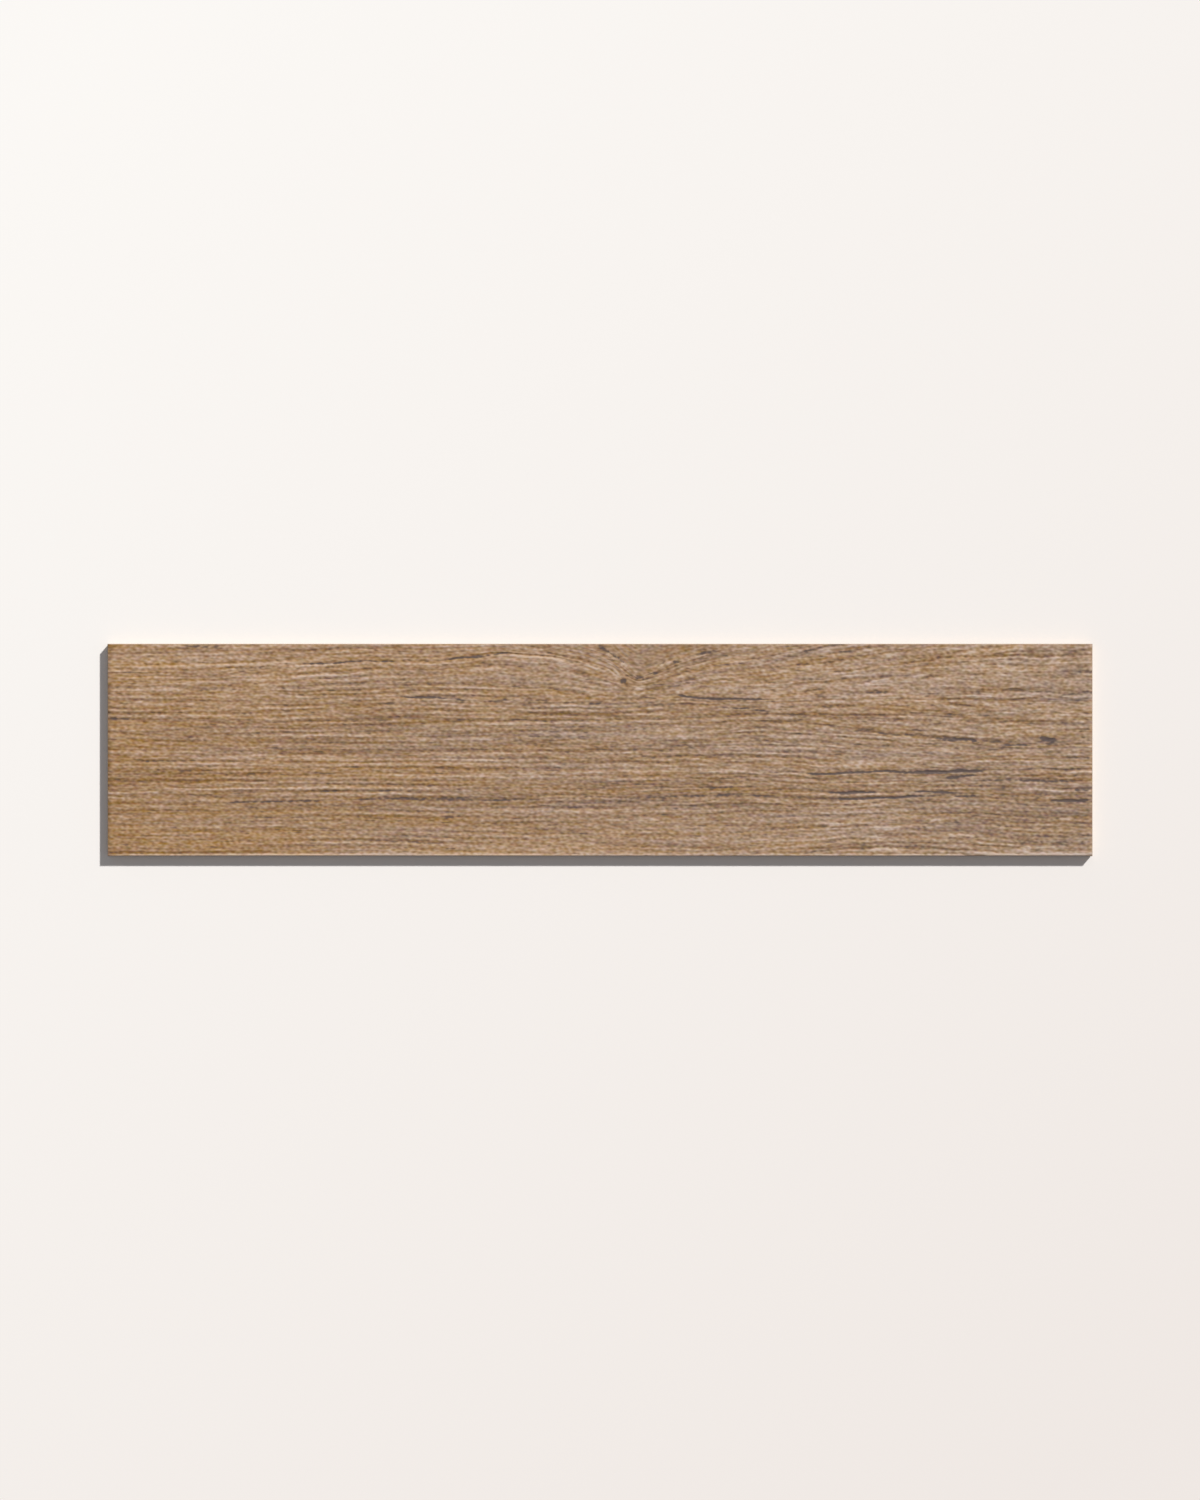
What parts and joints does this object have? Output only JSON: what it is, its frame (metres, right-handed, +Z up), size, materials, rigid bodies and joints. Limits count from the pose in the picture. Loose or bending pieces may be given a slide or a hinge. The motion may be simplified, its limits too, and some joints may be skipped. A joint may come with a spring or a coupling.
{
  "type": "wood-look porcelain plank tile",
  "caption": "Long flat rectangular porcelain floor tile with a wood-grain face, ground square edges with a fine bevel, and a ribbed back that keys into adhesive.",
  "frame": {"origin": "centre of the back, level with the tops of the keying ribs, where the tile meets the floor", "axes": "+X along the plank, +Y across it, +Z up out of the printed face"},
  "size_m": [0.9, 0.194, 0.01],
  "materials": {
    "porcelain": "matte"
  },
  "bodies": {
    "root": {"plank_tile": "porcelain"}
  },
  "joints": []
}
